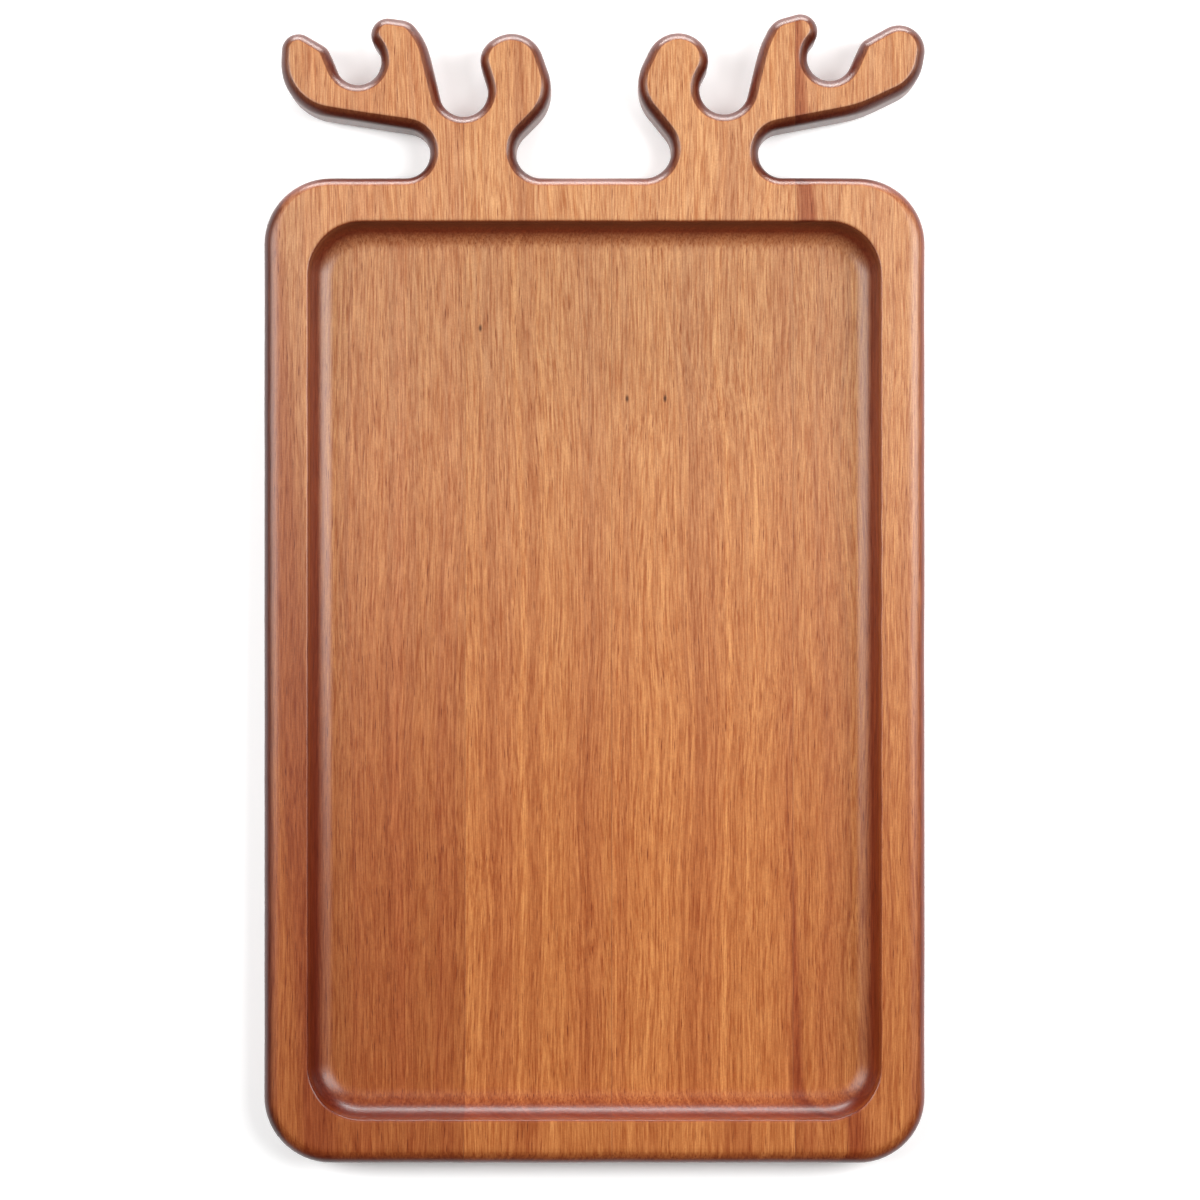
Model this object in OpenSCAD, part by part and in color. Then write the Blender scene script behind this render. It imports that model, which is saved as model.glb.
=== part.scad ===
// Serving tray with two antler handles, routed from one edge-glued board.
// The tray lies flat: +Z is up, +Y runs towards the antlers, +X to the right.
// The origin is under the middle of the tray's whole length and width.

/* [Board] */
// Width of the tray body, side to side
body_w = 228; // [228:1:250]
// Length of the tray body, without the antlers
body_l = 340; // [300:1:400]
// Thickness of the board
board_t = 20; // [18:1:26]
// Radius of the body's four corners, seen from above
corner_r = 23; // [20:1:28]

/* [Edges] */
// Height of the rounded edge on the top and on the underside
edge_h = 5; // [3:0.5:6]
// Reach of the rounded edge in from the board's side, where it meets the flat faces smoothly
edge_w = 5.5; // [3:0.5:6]
// Slope, in degrees, at which the antlers' rounded edge meets the flat faces in a crease
antler_crease = 25; // [0:5:35]

/* [Well] */
// Width of the flat rim between the body's side and the well
rim_w = 15.5; // [12:0.5:25]
// Depth of the well below the rim
well_depth = 11; // [10:0.5:13]
// Radius of the well's four corners, seen from above
well_corner_r = 18.5; // [18.5:0.5:24]
// Radius of the cove between the well's wall and its floor
cove_r = 9; // [6:0.5:9]

/* [Staves] */
// Width of the left stave
left_stave_w = 69; // [64:1:72]
// Width of the stave left of the middle
centre_left_stave_w = 51; // [48:1:54]
// Width of the stave right of the middle
centre_right_stave_w = 63; // [61:1:64]
// Thickness of the cured glue between two staves
glue_t = 0.12; // [0.08:0.02:0.3]

/* [Hidden] */

// Turn of the outline, in degrees, that one straight facet of an edge takes
facet_turn = 15;
// Turn of one facet across a rounded edge
edge_turn = 22.5;
// Facets of each true circle
round_fn = 96;
// How far a cutting tool or a stave's block passes the board's faces
over = 5;

// Each antler is a chain of arcs that touch. Every entry is [x, y, radius]: x from the
// tray's middle line, y up from the body's top edge. A negative radius is a hollow.
// Height of the right gap's middle, where the right stave ends and the branch is parted off
right_gap_h = 8.4;
// The tray's highest point is on this arc
right_middle_tip = [71, 50.7, 6];
right_antler = [
    [64.9, right_gap_h, -right_gap_h],  // gap under the branch
    [79, 62.3, 42],             // underside of the branch
    [98, 42.2, 15.6],           // outer elbow
    [105.1, 43.9, 8.9],         // outer tip
    [96.5, 43, 5.5],            // lip of the outer notch
    [81.2, 41.4, -7.8],         // outer notch
    right_middle_tip,
    [67.1, 47.5, 8],            // shoulder of the middle tine
    [87.5, 34.5, 32.1],         // long side of the middle tine
    [44.8, 30.5, -8.5],         // inner notch
    [30.5, 40.6, 8.8],          // inner tip, notch side
    [28.8, 39.2, 11],           // inner tip
    [31, 32.4, 15.9],           // back of the inner tine
    [17.2, 9.3, -9.3]           // gap between the antlers
];
left_antler = [
    [-18.2, 9, -9],             // gap between the antlers
    [-30.6, 31.3, 15.5],        // back of the inner tine
    [-28.6, 38.8, 11.1],        // inner tip
    [-30.9, 40.4, 8.5],         // inner tip, notch side
    [-45.2, 29.6, -8.4],        // inner notch
    [-78.5, 37.4, 22.2],        // long side of the middle tine
    [-67, 48.1, 6.6],           // shoulder of the middle tine
    [-71.3, 49.4, 5.9],         // middle tip
    [-81.6, 40.1, -7.9],        // outer notch
    [-96.5, 41, 5.5],           // lip of the outer notch
    [-102.2, 44, 5.8],          // outer tip
    [-89.5, 39.6, 18.7],        // outer elbow
    [-65.2, 8.4, -8.4]          // gap under the branch
];

antler_h = right_middle_tip.y + right_middle_tip.z;
total_l = body_l + antler_h;
top_edge_y = total_l / 2 - antler_h;
body_mid_y = top_edge_y - body_l / 2;
gap_y = top_edge_y + right_gap_h;

// The whole outline, as arcs in the tray's own frame, anticlockwise
corner_x = body_w / 2 - corner_r;
function lifted(arcs) = [for (arc = arcs) arc + [0, top_edge_y, 0]];
outline_arcs = concat(
    [[-corner_x, top_edge_y - body_l + corner_r, corner_r],
     [corner_x, top_edge_y - body_l + corner_r, corner_r],
     [corner_x, top_edge_y - corner_r, corner_r]],
    lifted(right_antler),
    lifted(left_antler),
    [[-corner_x, top_edge_y - corner_r, corner_r]]
);

// Direction of the straight line that touches arc a and then arc b
function heading(a, b) =
    atan2(b.y - a.y, b.x - a.x)
    - asin((b.z - a.z) / norm([b.x - a.x, b.y - a.y]));

// Angle turned from heading h0 to heading h1: left round a bulge, right round a hollow
function positive(angle) = angle - 360 * floor(angle / 360);
function turned(h0, h1, r) = r > 0 ? positive(h1 - h0) : -positive(h0 - h1);

// Points of one arc, each with its outward normal: [x, y, normal x, normal y]
function arc_points(before, arc, after) =
    let (h0 = heading(before, arc))
    let (turn = turned(h0, heading(arc, after), arc.z))
    let (steps = max(1, ceil(abs(turn) / facet_turn)))
    [for (i = [0:steps])
        let (h = h0 + turn * i / steps)
        [arc.x + arc.z * sin(h), arc.y - arc.z * cos(h), sin(h), -cos(h)]];

arc_count = len(outline_arcs);
outline = [for (i = [0:arc_count - 1])
    each arc_points(outline_arcs[(i + arc_count - 1) % arc_count],
                    outline_arcs[i],
                    outline_arcs[(i + 1) % arc_count])];
point_count = len(outline);

// Slope of the rounded edge where it meets the flat faces: none along the body, and a
// crease that grows round the top corners up to the antlers
function crease(y) =
    antler_crease * max(0, min(1, (y - top_edge_y + corner_r) / corner_r));

// Rings from the underside to the top: [share of the way up from the wall to the flat, height]
edge_angles = [0:edge_turn:90];
lower_rings = [for (a = edge_angles) [cos(a), edge_h * (1 - cos(a))]];
upper_rings = [for (a = edge_angles) [sin(a), board_t - edge_h * (1 - sin(a))]];
rings = concat(lower_rings, upper_rings);

// How far in from the outline the rounded edge is: part of a circle, stretched to its height
function edge_inset(share, y) =
    let (sine = share * cos(crease(y)))
    edge_w * (1 - sqrt(1 - sine * sine));

function ring_points(ring) =
    [for (p = outline)
        let (inset = edge_inset(ring.x, p.y))
        [p.x - inset * p[2], p.y - inset * p[3], ring.y]];

// The rounded edge all round the board: a closed ring, outside the flat faces' outline
module rounded_edge() {
    ring_count = len(rings);
    points = [for (ring = rings) each ring_points(ring)];
    faces = [for (k = [0:ring_count - 1]) for (i = [0:point_count - 1])
        let (j = (i + 1) % point_count)
        let (up = (k + 1) % ring_count)
        [k * point_count + i, up * point_count + i,
         up * point_count + j, k * point_count + j]];
    polyhedron(points, faces);
}

// The board inside its rounded edge
module core() {
    flat_ring = ring_points(rings[0]);
    linear_extrude(board_t) polygon([for (p = flat_ring) [p.x, p.y]]);
}

// The whole board, before the well is cut
module blank() {
    union() {
        core();
        rounded_edge();
    }
}

// Section of the well: straight walls, with a cove at each side of the floor
module well_section(width) {
    height = well_depth + over;
    union() {
        translate([-width / 2, cove_r]) square([width, height - cove_r]);
        translate([cove_r - width / 2, 0]) square([width - 2 * cove_r, height]);
        for (side = [-1, 1])
            translate([side * (width / 2 - cove_r), cove_r]) circle(cove_r, $fn = round_fn);
    }
}

// Round corner of the well, as the cutter leaves it
module well_corner() {
    height = well_depth + over;
    reach = well_corner_r - cove_r;
    rotate_extrude($fn = round_fn) union() {
        translate([0, cove_r]) square([well_corner_r, height - cove_r]);
        square([reach, height]);
        translate([reach, cove_r]) circle(cove_r, $fn = round_fn);
    }
}

// The space that is routed out of the board
module well() {
    well_w = body_w - 2 * rim_w;
    well_l = body_l - 2 * rim_w;
    straight_w = well_w - 2 * well_corner_r;
    straight_l = well_l - 2 * well_corner_r;
    translate([0, body_mid_y, board_t - well_depth]) {
        translate([0, straight_l / 2, 0])
            rotate([90, 0, 0]) linear_extrude(straight_l) well_section(well_w);
        translate([-straight_w / 2, 0, 0])
            rotate([90, 0, 90]) linear_extrude(straight_w) well_section(well_l);
        for (x = [-1, 1]) for (y = [-1, 1])
            translate([x * straight_w / 2, y * straight_l / 2, 0]) well_corner();
    }
}

module board() {
    difference() {
        blank();
        well();
    }
}

// The part of the board between two X planes and two Y planes
module cut_from_board(x_low, x_high, y_low = -total_l, y_high = total_l) {
    intersection() {
        board();
        translate([x_low, y_low, -over])
            cube([x_high - x_low, y_high - y_low, board_t + 2 * over]);
    }
}

// Glue planes, from left to right
left_glue_x = left_stave_w - body_w / 2;
centre_glue_x = left_glue_x + centre_left_stave_w;
right_glue_x = centre_glue_x + centre_right_stave_w;
half_glue = glue_t / 2;

module left_stave() {
    color([0.66, 0.35, 0.20]) cut_from_board(-body_w, left_glue_x - half_glue);
}

module centre_left_stave() {
    color([0.76, 0.46, 0.27]) cut_from_board(left_glue_x + half_glue, centre_glue_x - half_glue);
}

module centre_right_stave() {
    color([0.79, 0.50, 0.30]) cut_from_board(centre_glue_x + half_glue, right_glue_x - half_glue);
}

// The right stave, up to the gap under the right antler's branch
module right_stave() {
    color([0.74, 0.43, 0.25])
        cut_from_board(right_glue_x + half_glue, body_w, y_high = gap_y);
}

// The piece of the right stave beyond that gap: it is held by its glue line only
module right_antler_branch() {
    color([0.78, 0.46, 0.28])
        cut_from_board(right_glue_x + half_glue, body_w, y_low = gap_y);
}

module left_glue_line() {
    color([0.30, 0.16, 0.09]) cut_from_board(left_glue_x - half_glue, left_glue_x + half_glue);
}

module centre_glue_line() {
    color([0.30, 0.16, 0.09]) cut_from_board(centre_glue_x - half_glue, centre_glue_x + half_glue);
}

module right_glue_line() {
    color([0.30, 0.16, 0.09])
        cut_from_board(right_glue_x - half_glue, right_glue_x + half_glue, y_high = gap_y);
}

module branch_glue_line() {
    color([0.30, 0.16, 0.09])
        cut_from_board(right_glue_x - half_glue, right_glue_x + half_glue, y_low = gap_y);
}

left_stave();
centre_left_stave();
centre_right_stave();
right_stave();
right_antler_branch();
left_glue_line();
centre_glue_line();
right_glue_line();
branch_glue_line();
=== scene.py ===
# %% [markdown]
# A serving tray of oiled acacia with two antlers for handles. The real tray is routed from one
# board, and that board is edge-glued from four long staves. The CAD model holds its sizes, so
# this script loads it first, and takes the body's edges and the glue planes from it. What
# Blender adds is the finished surface: smooth sanded edges, and wood that has its grain all
# the way through.

# %% Load the frame
import math

import bpy
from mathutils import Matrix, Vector, noise


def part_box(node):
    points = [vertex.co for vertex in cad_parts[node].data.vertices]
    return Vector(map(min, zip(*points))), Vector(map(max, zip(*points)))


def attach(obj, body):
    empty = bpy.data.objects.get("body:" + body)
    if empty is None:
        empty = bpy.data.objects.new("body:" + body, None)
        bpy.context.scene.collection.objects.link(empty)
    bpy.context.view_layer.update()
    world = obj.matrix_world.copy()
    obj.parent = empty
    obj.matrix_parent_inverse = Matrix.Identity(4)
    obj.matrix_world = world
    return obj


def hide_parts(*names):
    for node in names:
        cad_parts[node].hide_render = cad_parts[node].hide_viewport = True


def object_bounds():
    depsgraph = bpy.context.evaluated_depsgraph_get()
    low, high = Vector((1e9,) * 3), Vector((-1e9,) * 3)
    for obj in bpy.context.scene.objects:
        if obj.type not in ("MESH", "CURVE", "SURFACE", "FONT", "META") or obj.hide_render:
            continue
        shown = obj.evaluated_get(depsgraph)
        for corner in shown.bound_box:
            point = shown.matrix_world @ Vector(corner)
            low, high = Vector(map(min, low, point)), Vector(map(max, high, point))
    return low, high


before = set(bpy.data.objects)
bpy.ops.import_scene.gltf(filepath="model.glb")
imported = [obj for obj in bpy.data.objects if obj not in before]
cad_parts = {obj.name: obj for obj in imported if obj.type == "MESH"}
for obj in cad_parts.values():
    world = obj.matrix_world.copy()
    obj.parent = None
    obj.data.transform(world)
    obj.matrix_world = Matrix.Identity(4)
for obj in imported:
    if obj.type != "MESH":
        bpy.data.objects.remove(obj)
cad_low, cad_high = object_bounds()
MM = 0.001
print("nodes:", sorted(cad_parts))
print("tray in mm:", [round(v / MM, 1) for v in cad_high - cad_low])

# %% [markdown]
# The camera comes first, because it decides how fine everything has to be. The tray is shown
# square on, so the camera looks straight down on it, with the antlers at the top of the
# frame. A long lens from a metre away suits that: the walls of the well then show only a
# little, and the outline isn't stretched.

# %% Put the camera above the tray
FRAME_WIDTH = 414.6 * MM      # width of the view at the outline's height
OUTLINE_Z = 15 * MM           # height of the board's side that bounds the outline
CAMERA_HEIGHT = 1.0
AIM = Vector((1.9 * MM, -4.0 * MM, 0))

bpy.ops.object.camera_add(location=(AIM.x, AIM.y, CAMERA_HEIGHT), rotation=(0, 0, 0))
camera = bpy.context.object
camera.name = "camera"
camera.data.lens = camera.data.sensor_width * (CAMERA_HEIGHT - OUTLINE_Z) / FRAME_WIDTH
bpy.context.scene.camera = camera
print("lens in mm:", round(camera.data.lens, 1))

# %% [markdown]
# The right stave gives the body's side, its top edge and its bottom edge. The sizes that a
# node's box doesn't show, such as radii and the depth of the well, are the CAD model's own.

# %% Read the board's sizes
right_low, right_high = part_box("right_stave")
BOARD_T = cad_high.z
BODY_HALF = right_high.x
TOP_EDGE = right_high.y
BOTTOM_EDGE = right_low.y
CORNER_R = 23 * MM

RIM = 15.5 * MM
WELL_DEPTH = 11 * MM
WELL_CORNER_R = 18.5 * MM
COVE_R = 9 * MM
FLOOR_Z = BOARD_T - WELL_DEPTH

EDGE_H = 5 * MM               # height of the rounded edge
EDGE_W = 5.5 * MM             # its reach in from the side, where it meets the flat smoothly
ANTLER_CREASE = 25            # on the antlers it meets the flat in a crease this steep, degrees
HOLD = 0.5 * MM               # a last ring on each flat face keeps that face's shading flat
print("body in mm:", round(2 * BODY_HALF / MM, 2), round((TOP_EDGE - BOTTOM_EDGE) / MM, 2))

# %% [markdown]
# The outline is a chain of arcs that touch each other, as a template maker would draw it with
# a compass. Each arc is (x, y, radius): x from the middle line, y up from the body's top edge.
# A negative radius is a hollow, such as the notch between two tines. The two antlers were cut
# freehand on the real tray, so they aren't mirror images.

# %% Draw the outline as arcs
GAP_H = 8.4                   # height of the right gap's middle, where the branch is parted off
RIGHT_ANTLER = [
    (64.9, GAP_H, -GAP_H), (79, 62.3, 42), (98, 42.2, 15.6), (105.1, 43.9, 8.9),
    (96.5, 43, 5.5), (81.2, 41.4, -7.8), (71, 50.7, 6), (67.1, 47.5, 8), (87.5, 34.5, 32.1),
    (44.8, 30.5, -8.5), (30.5, 40.6, 8.8), (28.8, 39.2, 11), (31, 32.4, 15.9),
    (17.2, 9.3, -9.3),
]
LEFT_ANTLER = [
    (-18.2, 9, -9), (-30.6, 31.3, 15.5), (-28.6, 38.8, 11.1), (-30.9, 40.4, 8.5),
    (-45.2, 29.6, -8.4), (-78.5, 37.4, 22.2), (-67, 48.1, 6.6), (-71.3, 49.4, 5.9),
    (-81.6, 40.1, -7.9), (-96.5, 41, 5.5), (-102.2, 44, 5.8), (-89.5, 39.6, 18.7),
    (-65.2, 8.4, -8.4),
]
corner_x = BODY_HALF - CORNER_R
low_corner_y = BOTTOM_EDGE + CORNER_R
high_corner_y = TOP_EDGE - CORNER_R
antlers = [(x * MM, TOP_EDGE + y * MM, r * MM) for x, y, r in RIGHT_ANTLER + LEFT_ANTLER]
tray_arcs = [(-corner_x, low_corner_y, CORNER_R), (corner_x, low_corner_y, CORNER_R),
             (corner_x, high_corner_y, CORNER_R), *antlers,
             (-corner_x, high_corner_y, CORNER_R)]


def heading(a, b):
    """Direction of the straight line that touches arc a and then arc b."""
    dx, dy = b[0] - a[0], b[1] - a[1]
    return math.atan2(dy, dx) - math.asin((b[2] - a[2]) / math.hypot(dx, dy))


def outline(arcs, spacing, turn_step):
    """Points round a chain of arcs, anticlockwise, each with its outward normal."""
    points = []
    for i, (x, y, r) in enumerate(arcs):
        start = heading(arcs[i - 1], arcs[i])
        end = heading(arcs[i], arcs[(i + 1) % len(arcs)])
        turn = (end - start) % math.tau if r > 0 else -((start - end) % math.tau)
        steps = max(1, math.ceil(abs(turn) / turn_step))
        for k in range(steps + 1):
            h = start + turn * k / steps
            normal = Vector((math.sin(h), -math.cos(h)))
            points.append((Vector((x, y)) + r * normal, normal))
    filled = []
    for i, (p, n) in enumerate(points):
        q, m = points[(i + 1) % len(points)]
        cuts = max(1, math.ceil((q - p).length / spacing))
        filled += [(p.lerp(q, k / cuts), n.lerp(m, k / cuts).normalized()) for k in range(cuts)]
    return filled


tray_outline = outline(tray_arcs, spacing=2.5 * MM, turn_step=math.radians(6))
print("points round the tray:", len(tray_outline))

# %% [markdown]
# Hands with sandpaper made the real edges, so nothing on them is perfectly straight. This
# helper moves a point by a fraction of a millimetre, smoothly along the edge. The noise is a
# fixed pattern in space, so the tray comes out the same each time.

# %% Let edges wander a little
def wander(point, z, wavelength, amount):
    """Up to about that amount, in or out, changing smoothly over the wavelength."""
    return noise.noise(Vector((point.x, point.y, z)) / wavelength) * amount


# %% [markdown]
# A ring of points, swept over a list of heights, gives the rounded edge. A grid primitive is
# a good start for that: its columns run round the outline and its rows are the rings. Its
# corners are moved into place, and merging the doubles closes the seam.

# %% Wrap a grid round an outline
def deselect():
    for one in bpy.context.selected_objects:
        one.select_set(False)


def wrap_grid(name, rings):
    """A closed band of faces through rings of points that all have the same number."""
    deselect()
    around, rows = len(rings[0]), len(rings)
    bpy.ops.mesh.primitive_grid_add(x_subdivisions=around, y_subdivisions=rows - 1)
    band = bpy.context.object
    band.name = name
    places = [c for ring in rings for p in (*ring, ring[0]) for c in p]
    band.data.vertices.foreach_set("co", places)
    bpy.ops.object.mode_set(mode="EDIT")
    bpy.ops.mesh.select_all(action="SELECT")
    bpy.ops.mesh.remove_doubles(threshold=0.001 * MM)
    bpy.ops.object.mode_set(mode="OBJECT")
    print(name, len(band.data.polygons), "faces")
    return band


# %% [markdown]
# One router bit rounded every edge, above and below, but it wasn't set equally deep. Along the
# body its curve runs smoothly into the flat face. On the antlers it starts with a slope, so a
# fine crease shows between the flat face and the edge. Both come from one formula: the curve
# is the same quarter circle, and the crease only decides where on it the edge begins. A pair
# of rings close to the crease rounds it by a hair, and that hair catches the light.

# %% Sweep the rounded edge
def edge_inset(share, y):
    """Distance in from the outline. The share is 0 at the wall and 1 at the flat face."""
    rise = min(1, max(0, (y - TOP_EDGE + CORNER_R) / CORNER_R))
    sine = share * math.cos(math.radians(ANTLER_CREASE * rise))
    return EDGE_W * (1 - math.sqrt(1 - sine * sine))


def edge_ring(share, extra, z):
    """One ring of the rounded edge, moved a bit extra inwards."""
    ring = []
    for p, n in tray_outline:
        inset = edge_inset(share, p.y) + extra
        inset += share * wander(p, z, wavelength=18 * MM, amount=0.25 * MM)
        inset += wander(p, 0, wavelength=40 * MM, amount=0.15 * MM)
        ring.append((p.x - inset * n.x, p.y - inset * n.y, z))
    return ring


EDGE_STEPS = 9
SOFTENED = 0.2 * MM           # the flat face ends this far short of the crease
DROP = 0.06 * MM              # and the curve begins this far below the flat face
shares = [math.cos(math.pi / 2 * k / EDGE_STEPS) for k in range(EDGE_STEPS + 1)]
near_flat = 1 - DROP / EDGE_H
lower = [(1, HOLD + SOFTENED, 0), (1, SOFTENED, 0), (near_flat, 0, EDGE_H * (1 - near_flat))]
lower += [(share, 0, EDGE_H * (1 - share)) for share in shares[1:]]
upper = [(share, extra, BOARD_T - z) for share, extra, z in reversed(lower)]
edge_rings = [edge_ring(*setting) for setting in lower + upper]
edge_band = wrap_grid("edge_band", edge_rings)

# %% [markdown]
# The well is cut with a cove bit: a short straight wall, then a quarter circle that runs into
# the floor. Its rim is a crisp edge with the sharpness just taken off. That tiny bevel
# matters, because it is what catches the light as a thin bright line.

# %% Sweep the well
EASE = 0.6 * MM               # how far the sharpness is taken off the rim
well_x = BODY_HALF - RIM - WELL_CORNER_R
well_y = (TOP_EDGE - BOTTOM_EDGE) / 2 - RIM - WELL_CORNER_R
mid_y = (TOP_EDGE + BOTTOM_EDGE) / 2
well_arcs = [(sx * well_x, mid_y + sy * well_y, WELL_CORNER_R)
             for sx, sy in ((-1, -1), (1, -1), (1, 1), (-1, 1))]
well_outline = outline(well_arcs, spacing=2.5 * MM, turn_step=math.radians(5))


def well_ring(inset, z):
    """One ring of the well, that far in from its wall. Its rim wanders and its floor doesn't."""
    ring = []
    rim_share = 1 - (BOARD_T - z) / WELL_DEPTH
    for p, n in well_outline:
        inward = inset + rim_share * wander(p, 0, wavelength=9 * MM, amount=0.18 * MM)
        ring.append((p.x - inward * n.x, p.y - inward * n.y, z))
    return ring


COVE_STEPS = 12
ease = [(-EASE, BOARD_T), (-0.4 * EASE, BOARD_T - 0.2 * EASE), (0, BOARD_T - 0.7 * EASE)]
cove_angles = [math.pi / 2 * k / COVE_STEPS for k in range(COVE_STEPS + 1)]
cove = [(COVE_R * (1 - math.cos(a)), FLOOR_Z + COVE_R * (1 - math.sin(a))) for a in cove_angles]
well_rings = [well_ring(-EASE - HOLD, BOARD_T)]
well_rings += [well_ring(inset, z) for inset, z in ease + cove]
well_rings += [well_ring(COVE_R + HOLD, FLOOR_Z)]
well_band = wrap_grid("well_band", well_rings)

# %% [markdown]
# Three flat faces close the board: the underside, the floor of the well, and the rim, which
# is a face with a hole. Fill works on the open edges of the two bands, and it can leave a
# hole open between two loops. On the underside it lays two thin triangles over each other,
# in the face's own plane, so one edge there has four faces. The count below shows it.

# %% Close the board
def select_open_edges(shape, low, high):
    """Select the open edges between two heights, in edit mode."""
    bpy.ops.mesh.select_all(action="DESELECT")
    bpy.ops.mesh.select_mode(type="EDGE")
    bpy.ops.mesh.select_non_manifold(extend=False)
    bpy.ops.object.mode_set(mode="OBJECT")
    points = shape.data.vertices
    for edge in shape.data.edges:
        inside = all(low < points[v].co.z < high for v in edge.vertices)
        edge.select = edge.select and inside
    bpy.ops.object.mode_set(mode="EDIT")


deselect()
edge_band.select_set(True)
well_band.select_set(True)
bpy.context.view_layer.objects.active = edge_band
bpy.ops.object.join()
board = bpy.context.object
board.name = "board"
bpy.ops.object.mode_set(mode="EDIT")
for height in (0, FLOOR_Z, BOARD_T):
    select_open_edges(board, height - MM, height + MM)
    bpy.ops.mesh.fill(use_beauty=True)
bpy.ops.mesh.select_all(action="SELECT")
bpy.ops.mesh.normals_make_consistent(inside=False)
bpy.ops.mesh.select_all(action="DESELECT")
bpy.ops.mesh.select_non_manifold(extend=False)
odd_edges = board.data.total_edge_sel
bpy.ops.object.mode_set(mode="OBJECT")
print("board:", len(board.data.polygons), "faces,", odd_edges, "edge without two faces")

# %% [markdown]
# The board's skin now has no open edge. Sawing it along the glue planes gives the real pieces:
# each cut with Bisect throws one side away and fills the cut, so every piece stays closed.
# The right stave falls in two, because the gap under the right antler parts its upper end.

# %% Saw the board into staves and glue lines
def saw(name, x_low, x_high, y_low=None, y_high=None):
    """A copy of the board between two planes across X, and two across Y where they are given."""
    deselect()
    board.select_set(True)
    bpy.context.view_layer.objects.active = board
    bpy.ops.object.duplicate()
    piece = bpy.context.object
    piece.name = name
    planes = [((x_low, 0, 0), (1, 0, 0), False), ((x_high, 0, 0), (1, 0, 0), True),
              ((0, y_low, 0), (0, 1, 0), False), ((0, y_high, 0), (0, 1, 0), True)]
    bpy.ops.object.mode_set(mode="EDIT")
    for place, direction, keep_low in planes:
        if None in place:
            continue
        bpy.ops.mesh.select_all(action="SELECT")
        bpy.ops.mesh.bisect(plane_co=place, plane_no=direction, use_fill=True,
                            clear_inner=not keep_low, clear_outer=keep_low)
    bpy.ops.object.mode_set(mode="OBJECT")
    bpy.ops.object.shade_smooth_by_angle(angle=math.radians(35))
    low, high = piece.bound_box[0], piece.bound_box[6]
    size = [round((high[i] - low[i]) / MM, 1) for i in range(3)]
    print(name, len(piece.data.polygons), "faces, mm:", size)
    return piece


def glue_span(node):
    """A glue line's two planes across X."""
    low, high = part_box(node)
    return low.x, high.x


SIDE = BODY_HALF + 10 * MM    # a place outside the board
gap_y = TOP_EDGE + GAP_H * MM
left_glue = glue_span("left_glue_line")
centre_glue = glue_span("centre_glue_line")
right_glue = glue_span("right_glue_line")
cuts = {
    "left_stave": (-SIDE, left_glue[0]),
    "centre_left_stave": (left_glue[1], centre_glue[0]),
    "centre_right_stave": (centre_glue[1], right_glue[0]),
    "right_stave": (right_glue[1], SIDE, None, gap_y),
    "right_antler_branch": (right_glue[1], SIDE, gap_y, None),
    "left_glue_line": left_glue,
    "centre_glue_line": centre_glue,
    "right_glue_line": (*right_glue, None, gap_y),
    "branch_glue_line": (*right_glue, gap_y, None),
}
pieces = {node: saw(node + "_finished", *span) for node, span in cuts.items()}
bpy.data.objects.remove(board)
for node, piece in pieces.items():
    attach(piece, "root")
    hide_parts(node)

# %% [markdown]
# Colours are written as the sRGB hex values that a person reads off a sample, and turned to
# the linear values that Blender works in. One helper adds a node: its settings are plain
# values, and an input is either a value or the output that feeds it.

# %% Helpers for colour and nodes
def colour(text):
    """The linear colour of an sRGB hex value such as #B4723D."""
    parts = [int(text[i:i + 2], 16) / 255 for i in (1, 3, 5)]
    linear = [c / 12.92 if c <= 0.04045 else ((c + 0.055) / 1.055) ** 2.4 for c in parts]
    return (*linear, 1)


def add(tree, kind, settings=None, **inputs):
    """Adds one node. An input's name is written with _ for a space, or as i0, i1 by number."""
    node = tree.nodes.new("ShaderNode" + kind)
    for key, value in (settings or {}).items():
        setattr(node, key, value)
    for key, value in inputs.items():
        numbered = key[0] == "i" and key[1:].isdigit()
        socket = node.inputs[int(key[1:]) if numbered else key.replace("_", " ")]
        if isinstance(value, bpy.types.NodeSocket):
            tree.links.new(value, socket)
        else:
            socket.default_value = value
    return node


# %% [markdown]
# Acacia is a hard, golden to red-brown wood with open pores, finished here with oil that
# leaves a satin shine. Wood isn't a picture on a surface: it is a bundle of tubes that runs
# along the stave, laid down in yearly layers round the heart of the tree. So the material is
# worked out in three dimensions, in millimetres, and each face shows its own cut through it.
# Most of its patterns, and its painted shade, multiply the tone that is there already, so
# that step is written once.

# %% Multiply a tone
def multiplied_tone(tree, tone, share, full, bare=(1, 1, 1)):
    """The tone times bare where the share is 0 and times full where it is 1. Both are factors
    for red, green and blue."""
    factors = add(tree, "Mix", {"data_type": "VECTOR"}, i0=share, i4=bare, i5=full)
    product = add(tree, "VectorMath", {"operation": "MULTIPLY"},
                  i0=tone, i1=factors.outputs[1])
    return product.outputs[0]


# %% [markdown]
# No tree grows quite straight, so the grain drifts sideways in slow waves. The yearly layers
# are rings round a heart line beside the stave, and a flat face cuts them into long, nearly
# straight lines. A noise of one number, the distance from the heart, makes such rings: one
# noise for the broad bands and two for the finer layers.

# %% Grow the yearly layers
WAVES_PER_MM = (0.022, 0.008, 0.022)   # a wave is 45 mm wide and 125 mm long
DRIFT = 9                              # mm; the noise uses about a quarter of it to each side
BANDS_PER_MM = 0.09                    # a band of one tone is some 11 mm wide
LAYERS_PER_MM = (0.32, 0.95)           # layers of 3 mm, and of 1 mm in them


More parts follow.
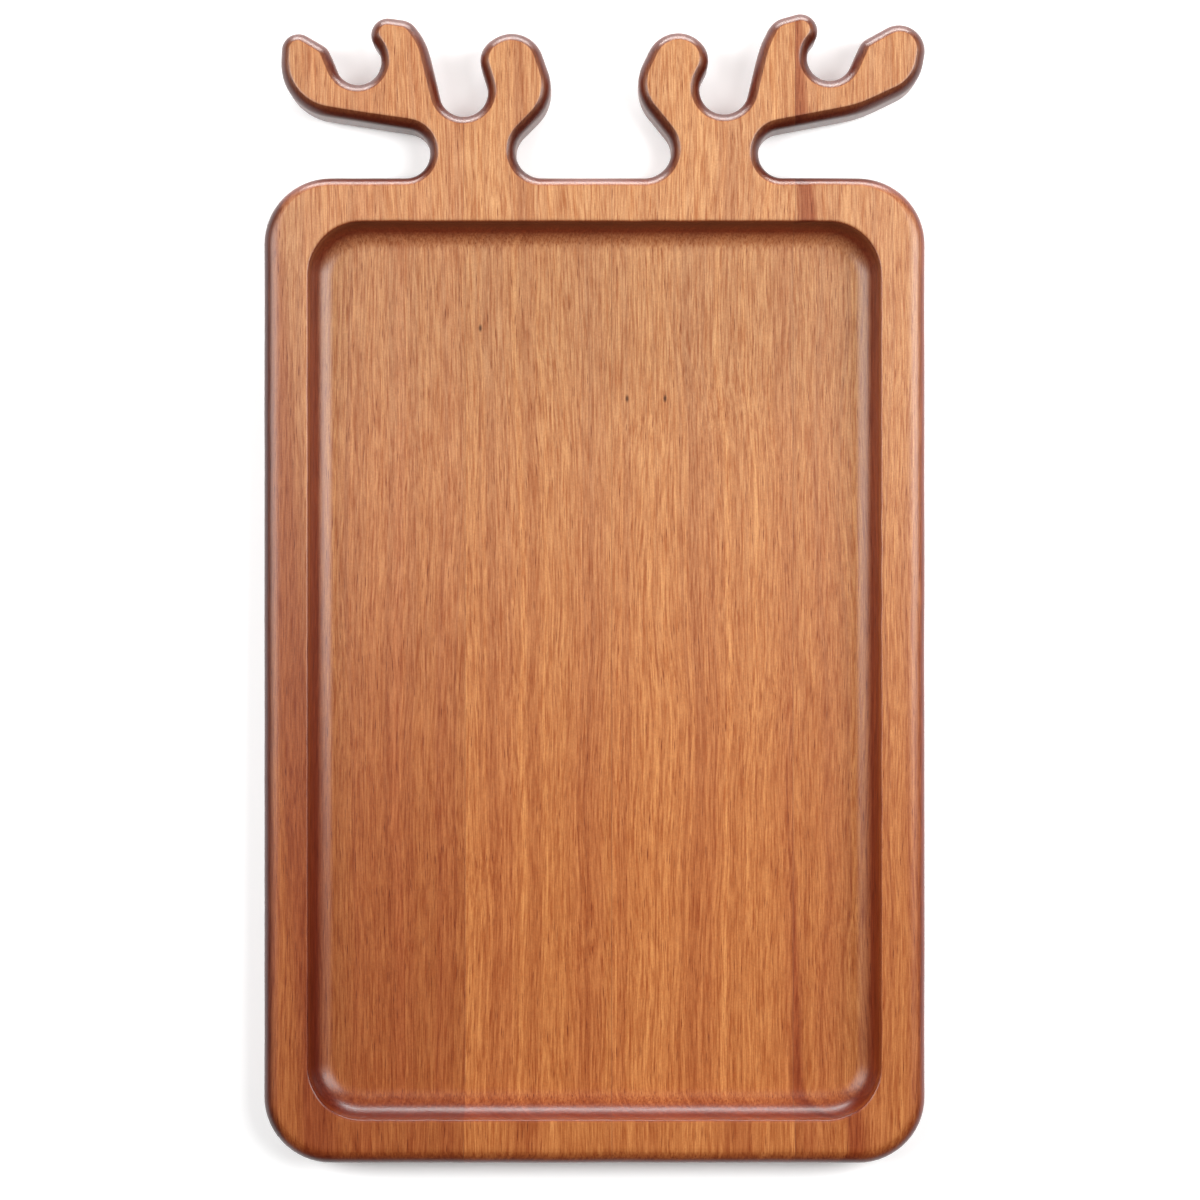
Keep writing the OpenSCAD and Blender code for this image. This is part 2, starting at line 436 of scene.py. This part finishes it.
def drifting_grain(tree, point):
    """The point moved sideways by up to 2 mm or so, in slow waves."""
    waves = add(tree, "VectorMath", {"operation": "MULTIPLY"}, i0=point, i1=WAVES_PER_MM)
    slow = add(tree, "TexNoise", Vector=waves.outputs[0], Scale=1.0, Detail=2.0)
    centred = add(tree, "VectorMath", {"operation": "SUBTRACT"},
                  i0=slow.outputs["Color"], i1=(0.5, 0.5, 0.5))
    drifted = add(tree, "VectorMath", {"operation": "MULTIPLY_ADD"},
                  i0=centred.outputs[0], i1=(DRIFT, 0, DRIFT), i2=point)
    return drifted.outputs[0]


def from_heart(tree, grain, heart):
    """Distance from the heart line, which leans very slightly along the stave."""
    away = add(tree, "VectorMath", {"operation": "SUBTRACT"},
               i0=grain, i1=(heart[0], 0, heart[1]))
    flat = add(tree, "VectorMath", {"operation": "MULTIPLY"},
               i0=away.outputs[0], i1=(1, 0.01, 1))
    radius = add(tree, "VectorMath", {"operation": "LENGTH"}, i0=flat.outputs[0])
    return radius.outputs["Value"]


def layered_tone(tree, distance, golden, ruddy):
    """Broad bands of the two tones, with finer pale and ruddier layers in them."""
    broad = add(tree, "TexNoise", {"noise_dimensions": "1D"}, W=distance,
                Scale=BANDS_PER_MM, Detail=2.0)
    share = add(tree, "MapRange", {"interpolation_type": "SMOOTHSTEP"},
                Value=broad.outputs[0], From_Min=0.4, From_Max=0.7, To_Max=0.8)
    bands = add(tree, "Mix", {"data_type": "RGBA"}, i0=share.outputs[0],
                i6=colour(golden), i7=colour(ruddy))
    tone = bands.outputs[2]
    for layers in LAYERS_PER_MM:
        layer = add(tree, "TexNoise", {"noise_dimensions": "1D"}, W=distance, Scale=layers,
                    Detail=2.0, Roughness=0.6)
        pale = add(tree, "MapRange", Value=layer.outputs[0], From_Min=0.33, From_Max=0.67)
        tone = multiplied_tone(tree, tone, pale.outputs[0], bare=(0.89, 0.80, 0.74),
                    full=(1.08, 1.1, 1.12))
    return tone


# %% [markdown]
# A stave isn't the same from end to end. Towards the end without antlers the darker heartwood
# comes in like a cloud, and it comes furthest up the rim at the left. Towards the antlers a
# painted sheen makes the wood paler and greyer.

# %% Change the tone along the stave, and paint a sheen towards the antlers
CLOUDS_PER_MM = (0.05, 0.012, 0.05)    # a cloud is 20 mm wide and 80 mm long
CLOUD_RAGGED = -160                    # mm by which the clouds pull the heartwood's front
RIM_LEAD = -220                        # mm by which the heartwood leads on the left rim


def darker_end(tree, tone, point, grain, heartwood):
    """The tone with that much red-brown heartwood in it at the near end."""
    clouds = add(tree, "VectorMath", {"operation": "MULTIPLY"}, i0=grain, i1=CLOUDS_PER_MM)
    cloud = add(tree, "TexNoise", Vector=clouds.outputs[0], Scale=1.0)
    split = add(tree, "SeparateXYZ", Vector=point)
    lead = add(tree, "MapRange", Value=split.outputs["X"], From_Min=-92, From_Max=-104,
               To_Min=0, To_Max=RIM_LEAD)
    along = add(tree, "Math", {"operation": "ADD"},
                i0=split.outputs["Y"], i1=lead.outputs[0])
    front = add(tree, "Math", {"operation": "MULTIPLY_ADD"},
                i0=cloud.outputs[0], i1=CLOUD_RAGGED, i2=along.outputs[0])
    share = add(tree, "MapRange", {"interpolation_type": "SMOOTHSTEP"},
                Value=front.outputs[0], From_Min=-240, From_Max=60,
                To_Min=heartwood, To_Max=0)
    mix = add(tree, "Mix", {"data_type": "RGBA"}, i0=share.outputs[0], i6=tone,
              i7=colour("#6E3014"))
    return mix.outputs[2]


def painted_sheen_towards_antlers(tree, tone, point):
    """The tone with a painted sheen, growing paler towards the antlers."""
    split = add(tree, "SeparateXYZ", Vector=point)
    share = add(tree, "MapRange", {"interpolation_type": "SMOOTHSTEP"},
                Value=split.outputs["Y"], From_Min=-120, From_Max=150, To_Max=0.4)
    # painted sheen: the tone is mixed towards a pale grey-brown, more towards the antlers
    mix = add(tree, "Mix", {"data_type": "RGBA"}, i0=share.outputs[0], i6=tone,
              i7=colour("#C19D76"))
    return mix.outputs[2]


# %% [markdown]
# Two things mark single staves. A dark layer is one red-brown year, and it crosses the stave
# as a leaning, slightly wavy sheet, so it shows on the rim, runs down the cove and shows again
# on the floor. A pin knot is a dark dot where a bud has died off.

# %% Add dark layers and pin knots
def dark_layer(tree, tone, own, grain, shift, lean, place, half_width, strength):
    """The sheet is where the point along lean is at place, in mm. The shift is how far the
    stave's own frame is moved along the grain."""
    middle = place + lean[1] * shift
    wavy = add(tree, "Mix", {"data_type": "VECTOR"}, i0=0.35, i4=own, i5=grain)
    across = add(tree, "VectorMath", {"operation": "DOT_PRODUCT"},
                 i0=wavy.outputs[1], i1=lean)
    offset = add(tree, "Math", {"operation": "SUBTRACT"},
                 i0=across.outputs["Value"], i1=middle)
    distance = add(tree, "Math", {"operation": "ABSOLUTE"}, i0=offset.outputs[0])
    share = add(tree, "MapRange", {"interpolation_type": "SMOOTHSTEP"},
                Value=distance.outputs[0], From_Min=half_width * 1.7,
                From_Max=half_width * 0.5, To_Max=strength)
    return multiplied_tone(tree, tone, share.outputs[0], full=(0.58, 0.30, 0.22))


def pin_knot(tree, tone, point, x, y):
    """A dark dot 1 mm wide and 2 mm long."""
    away = add(tree, "VectorMath", {"operation": "SUBTRACT"}, i0=point, i1=(x, y, 0))
    oval = add(tree, "VectorMath", {"operation": "MULTIPLY"},
               i0=away.outputs[0], i1=(1, 0.45, 0))
    distance = add(tree, "VectorMath", {"operation": "LENGTH"}, i0=oval.outputs[0])
    inside = add(tree, "MapRange", Value=distance.outputs["Value"], From_Min=0.75,
                 From_Max=0.25, To_Max=0.85)
    mix = add(tree, "Mix", {"data_type": "RGBA"}, i0=inside.outputs[0], i6=tone,
              i7=colour("#3A1808"))
    return mix.outputs[2]


# %% [markdown]
# Close up, wood is fibres and pores. Both are far longer than they are wide, so their patterns
# are stretched along the grain. Single fibres are too fine to show, and the pattern is bundles
# of them. A real pore is about 0.2 mm wide, and these are drawn a little wider so that they
# show. Where a cove cuts across the tubes they turn into short dots, with no further work.

# %% Draw fibres, specks and pores
FIBRES_PER_MM = (1.7, 0.07, 1.7)       # bundles 0.6 mm wide and finer, 14 mm long
SPECKS_PER_MM = 1.6
PORES_PER_MM = (1.5, 0.09, 1.5)        # a cell with one pore is 0.7 mm wide and 11 mm long


def fibre_pattern(tree, grain):
    """High in a pale fibre and low in a dark one."""
    cells = add(tree, "VectorMath", {"operation": "MULTIPLY"}, i0=grain, i1=FIBRES_PER_MM)
    fibres = add(tree, "TexNoise", Vector=cells.outputs[0], Scale=1.0, Detail=3.0,
                 Roughness=0.7)
    return fibres.outputs[0]


def fibrous_tone(tree, tone, fibres):
    """Some fibres are pale, and some are redder and darker."""
    pale = add(tree, "MapRange", Value=fibres, From_Min=0.34, From_Max=0.64)
    return multiplied_tone(tree, tone, pale.outputs[0], bare=(0.72, 0.52, 0.42), full=(1.19, 1.29, 1.35))


def specked_tone(tree, tone, point):
    """Fine specks, a few per cent lighter and darker, as sanding leaves them."""
    specks = add(tree, "TexNoise", Vector=point, Scale=SPECKS_PER_MM, Detail=1.0)
    level = add(tree, "MapRange", Value=specks.outputs[0], From_Min=0.3, From_Max=0.7,
                To_Min=0.93, To_Max=1.07)
    scaled = add(tree, "VectorMath", {"operation": "SCALE"}, i0=tone, Scale=level.outputs[0])
    return scaled.outputs[0]


def open_pores(tree, grain):
    """Above 0 inside a pore: a tube up to 0.35 mm wide and 6 mm long, some deeper than others."""
    space = add(tree, "VectorMath", {"operation": "MULTIPLY"}, i0=grain, i1=PORES_PER_MM)
    cells = add(tree, "TexVoronoi", Vector=space.outputs[0], Scale=1.0)
    inside = add(tree, "MapRange", {"interpolation_type": "SMOOTHSTEP"},
                 Value=cells.outputs["Distance"], From_Min=0.1, From_Max=0.26,
                 To_Min=1, To_Max=0)
    chance = add(tree, "SeparateColor", Color=cells.outputs["Color"])
    depth = add(tree, "MapRange", Value=chance.outputs[0], To_Min=0.25, To_Max=1)
    pores = add(tree, "Math", {"operation": "MULTIPLY"},
                i0=inside.outputs[0], i1=depth.outputs[0])
    return pores.outputs[0]


# %% [markdown]
# Shade is painted into the colour by how steep a face is. Coves and rounded edges turn deep
# red-brown with painted shade, upright walls about half as much, and end grain a little more
# again, which is partly real darker end grain and partly painted shade. On the left side and on
# the antlers the rounded edge gets more painted shade. How steep a face is can be read from its
# normal: the size of its Z is 1 on a flat face and 0 on an upright one.

# %% Paint shade on slopes, end grain and edges
LEFT_EDGE = (-106, -109)               # mm in X over which the painted edge shade comes in
ANTLER_END = (138, 142)                # mm in Y over which it does so on the antlers


def painted_shade_and_end_grain(tree, tone, level, facing):
    """Painted shade on slopes, less on upright walls, and more on end grain, partly real there.
    """
    slope = add(tree, "MapRange", Value=level, From_Min=0.985, From_Max=0.68)
    upright = add(tree, "MapRange", Value=level, From_Min=0.3, From_Max=0.1,
                  To_Min=1, To_Max=0.55)
    painted_slope_shade = add(tree, "Math", {"operation": "MULTIPLY"},
                 i0=slope.outputs[0], i1=upright.outputs[0])
    # painted shade: darker the steeper the face, about half as much on upright walls
    tone = multiplied_tone(tree, tone, painted_slope_shade.outputs[0], full=(0.42, 0.18, 0.14))
    # darker on faces that look along the stave: partly real end grain, partly painted shade
    endwise = add(tree, "Math", {"operation": "ABSOLUTE"}, i0=facing.outputs["Y"])
    end_grain_and_shade_share = add(tree, "MapRange", Value=endwise.outputs[0], From_Min=0, From_Max=0.35)
    return multiplied_tone(tree, tone, end_grain_and_shade_share.outputs[0], full=(0.76, 0.64, 0.6))


def painted_edge_shade_tone(tree, tone, level, point):
    """Painted shade, darker on the rounded edges of the left side and of the antlers."""
    split = add(tree, "SeparateXYZ", Vector=point)
    on_side = add(tree, "MapRange", Value=split.outputs["X"], From_Min=LEFT_EDGE[0],
                  From_Max=LEFT_EDGE[1])
    on_antler = add(tree, "MapRange", Value=split.outputs["Y"], From_Min=ANTLER_END[0],
                    From_Max=ANTLER_END[1])
    outer = add(tree, "Math", {"operation": "MAXIMUM"},
                i0=on_side.outputs[0], i1=on_antler.outputs[0])
    edge = add(tree, "MapRange", Value=level, From_Min=0.99, From_Max=0.87)
    painted_edge_shade = add(tree, "Math", {"operation": "MULTIPLY"},
                    i0=outer.outputs[0], i1=edge.outputs[0])
    # painted shade on the rounded edges of the left side and of the antlers
    return multiplied_tone(tree, tone, painted_edge_shade.outputs[0], full=(0.5, 0.4, 0.34))


# %% [markdown]
# Now the patterns are put in order, from the tree to the workshop: layers, heartwood, a painted
# sheen, fibres, pores and knots are grown, and the painted shade on slopes, end grain and edges
# comes last. Each stave is moved along the grain to its own place in the pattern, as if it came
# from another tree. Rubbed-in oil lies in the wood and not on it, so the coat is thin and dull,
# and the fibres stand proud by a trace.

# %% Oiled acacia
STAVE_SHIFT = 530                      # mm along the grain from one stave's place to the next


def oiled_acacia(name, heart, seed, golden, ruddy, heartwood, streak, knots=()):
    """heart is the tree's middle as (x, z) in mm, golden and ruddy are the two tones, and
    heartwood is the share of darker wood at the near end. streak holds the dark layer's lean,
    place, half width and strength, and knots the pin knots' places in mm."""
    material = bpy.data.materials.new(name)
    material.use_nodes = True
    tree = material.node_tree
    tree.nodes.clear()
    place = add(tree, "TexCoord")
    to_mm = add(tree, "Mapping", Vector=place.outputs["Object"], Scale=(1000, 1000, 1000))
    point = to_mm.outputs[0]
    shift = seed * STAVE_SHIFT
    moved = add(tree, "VectorMath", {"operation": "ADD"}, i0=point, i1=(0, shift, 0))
    own = moved.outputs[0]
    grain = drifting_grain(tree, own)
    fibres = fibre_pattern(tree, grain)

    tone = layered_tone(tree, from_heart(tree, grain, heart), golden, ruddy)
    tone = darker_end(tree, tone, point, grain, heartwood)
    # painted sheen towards the antlers
    tone = painted_sheen_towards_antlers(tree, tone, point)
    tone = dark_layer(tree, tone, own, grain, shift, *streak)
    tone = fibrous_tone(tree, tone, fibres)
    tone = specked_tone(tree, tone, point)
    tone = multiplied_tone(tree, tone, open_pores(tree, grain), full=(0.4, 0.2, 0.13))
    for x, y in knots:
        tone = pin_knot(tree, tone, point, x, y)

    # painted shade by how steep each face is, on slopes, end grain and the edges below
    facing = add(tree, "SeparateXYZ", Vector=place.outputs["Normal"])
    flatness = add(tree, "Math", {"operation": "ABSOLUTE"}, i0=facing.outputs["Z"])
    tone = painted_shade_and_end_grain(tree, tone, flatness.outputs[0], facing)
    tone = painted_edge_shade_tone(tree, tone, flatness.outputs[0], point)

    bump = add(tree, "Bump", Height=fibres, Strength=0.35, Distance=0.1 * MM)
    shine = add(tree, "MapRange", Value=fibres, From_Min=0.3, From_Max=0.7,
                To_Min=0.3, To_Max=0.4)
    surface = add(tree, "BsdfPrincipled", Base_Color=tone, Roughness=shine.outputs[0],
                  Normal=bump.outputs[0], IOR=1.42, Coat_Weight=0.14, Coat_Roughness=0.24)
    end = add(tree, "OutputMaterial")
    tree.links.new(surface.outputs[0], end.inputs[0])
    print(name, len(tree.nodes), "nodes")
    return material


# %% [markdown]
# Four staves, four trees. The left one is redder and has the most heartwood, and the dark
# layer in the right one is the strongest. The branch was sawn from the right stave, so it has
# that stave's wood, and its grain runs on across the gap.

# %% Choose the wood of each stave
woods = {
    "left_stave": oiled_acacia(
        "oiled_acacia_left", (-150, -60), 1, "#AE6935", "#A2572B", 0.42,
        ((1, 0.06, -0.6), -118, 5.0, 0.6)),
    "centre_left_stave": oiled_acacia(
        "oiled_acacia_centre_left", (90, -110), 2, "#B2703B", "#A86434", 0.08,
        ((1, 0.01, 0.2), -20, 2.0, 0.2), [(-39.7, 90.5)]),
    "centre_right_stave": oiled_acacia(
        "oiled_acacia_centre_right", (150, -120), 3, "#B4723D", "#A86434", 0.05,
        ((1, 0.02, 1.7), 81.5, 2.6, 0.15), [(11.3, 66), (24.5, 66)]),
    "right_stave": oiled_acacia(
        "oiled_acacia_right", (20, 110), 4, "#B06E3A", "#A05A2F", 0.1,
        ((1, 0.057, -1.78), 43.9, 2.7, 0.8)),
}
woods["right_antler_branch"] = woods["right_stave"]
for node, wood in woods.items():
    pieces[node].data.materials.clear()
    pieces[node].data.materials.append(wood)

# %% [markdown]
# The glue is an ordinary wood glue that has cured hard and brown. The film is so thin that it
# shows as a hairline at most, so it needs no pattern beyond a little unevenness: clouds of a
# few millimetres, a fifth lighter or darker.

# %% Cured glue
CLOUD_SCALE = 300.0           # clouds in a metre, so one is 3 mm wide


def cured_glue():
    """Dull, brown and a little cloudy."""
    material = bpy.data.materials.new("cured_wood_glue")
    material.use_nodes = True
    tree = material.node_tree
    tree.nodes.clear()
    place = add(tree, "TexCoord")
    cloud = add(tree, "TexNoise", Vector=place.outputs["Object"], Scale=CLOUD_SCALE,
                Detail=2.0)
    shade = add(tree, "MapRange", Value=cloud.outputs[0], From_Min=0.3, From_Max=0.7,
                To_Min=0.8, To_Max=1.2)
    tint = add(tree, "VectorMath", {"operation": "SCALE"}, i0=colour("#6B3A22")[:3],
               Scale=shade.outputs[0])
    surface = add(tree, "BsdfPrincipled", Base_Color=tint.outputs[0], Roughness=0.5, IOR=1.48)
    end = add(tree, "OutputMaterial")
    tree.links.new(surface.outputs[0], end.inputs[0])
    return material


glue = cured_glue()
for node, piece in pieces.items():
    if node.endswith("glue_line"):
        piece.data.materials.clear()
        piece.data.materials.append(glue)
print("glued:", [node for node in pieces if node.endswith("glue_line")])

# %% [markdown]
# The studio: a plain white table under the tray, one low soft light beyond the antlers and a
# soft light at each side. The side lights draw the bright bands down the coves and the
# rounded edges. Nothing shines from the near side, so the faces that look that way stay dark.
# The table glows a little, like a lit panel, which thins out the shadows. It lies a trace below
# the tray, because two faces in one plane show through each other.

# %% Light the tray
TABLE_GAP = 0.05 * MM
bpy.ops.mesh.primitive_plane_add(size=6, location=(0, 0, -TABLE_GAP))
table = bpy.context.object
table.name = "table"
paper = bpy.data.materials.new("white_table")
paper.use_nodes = True
paper_surface = paper.node_tree.nodes["Principled BSDF"]
paper_surface.inputs["Base Color"].default_value = (1.0, 1.0, 1.0, 1)
paper_surface.inputs["Roughness"].default_value = 0.6
paper_surface.inputs["Emission Color"].default_value = (1, 1, 1, 1)
paper_surface.inputs["Emission Strength"].default_value = 0.14
table.data.materials.append(paper)


def softbox(name, place, size, watts):
    """A soft light of that size in metres, turned to the tray's middle and not itself seen."""
    deselect()
    bpy.ops.object.light_add(type="AREA", location=place)
    lamp = bpy.context.object
    lamp.name = name
    lamp.data.shape = "RECTANGLE"
    lamp.data.size, lamp.data.size_y = size
    lamp.data.energy = watts
    lamp.visible_camera = False
    lamp.rotation_euler = Vector(place).to_track_quat("Z", "Y").to_euler()
    print(name, watts, "W")


softbox("light_beyond", (0, 0.98, 0.115), (1.1, 0.18), 18)
softbox("light_left", (-0.76, 0.17, 0.86), (0.5, 1.0), 11.6)
softbox("light_right", (0.76, 0.17, 0.86), (0.5, 1.0), 14.7)
world = bpy.data.worlds.new("studio")
bpy.context.scene.world = world
world.use_nodes = True
world.node_tree.nodes["Background"].inputs["Color"].default_value = (1, 1, 1, 1)
world.node_tree.nodes["Background"].inputs["Strength"].default_value = 0.06
bpy.context.scene.view_settings.view_transform = "Standard"
